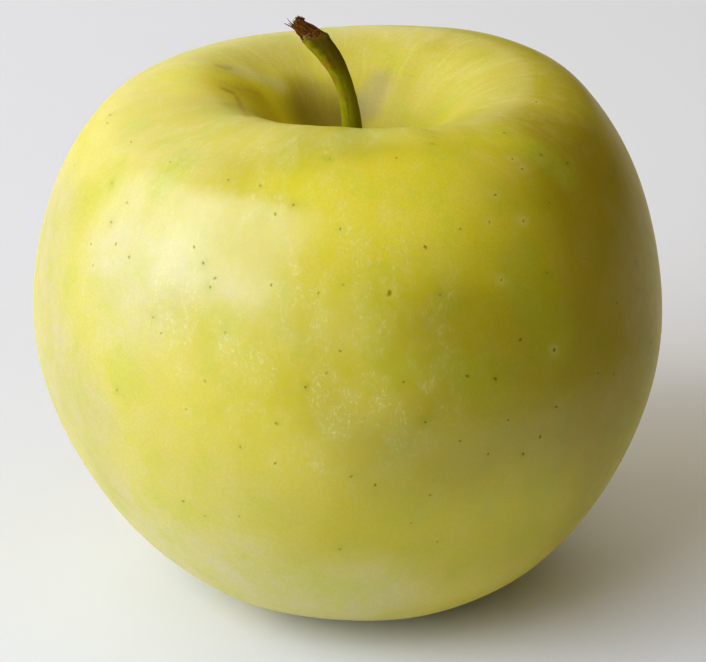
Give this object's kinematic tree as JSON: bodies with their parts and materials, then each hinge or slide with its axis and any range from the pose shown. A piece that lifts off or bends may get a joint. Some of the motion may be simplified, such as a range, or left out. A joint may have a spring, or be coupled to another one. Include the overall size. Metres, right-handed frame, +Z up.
{
  "type": "apple",
  "caption": "Whole yellow-green apple with a bent woody stem in its cavity and a dried calyx underneath, standing upright.",
  "frame": {"origin": "on the ground, under the middle of the fruit's outline seen from above", "axes": "+Z up along the core, -Y towards the side that is shown in the picture, the stem bends over towards -X"},
  "size_m": [0.0772, 0.0768, 0.0714],
  "materials": {
    "skin": "waxy semi-gloss skin, yellow-green with small brown pores",
    "stem_bark": "dull olive-green bark, brown and fibrous at the broken end",
    "dried_sepals": "dry, dark brown and matt"
  },
  "bodies": {
    "root": {"fruit": "skin", "stem": "stem_bark", "calyx": "dried_sepals"}
  },
  "joints": []
}
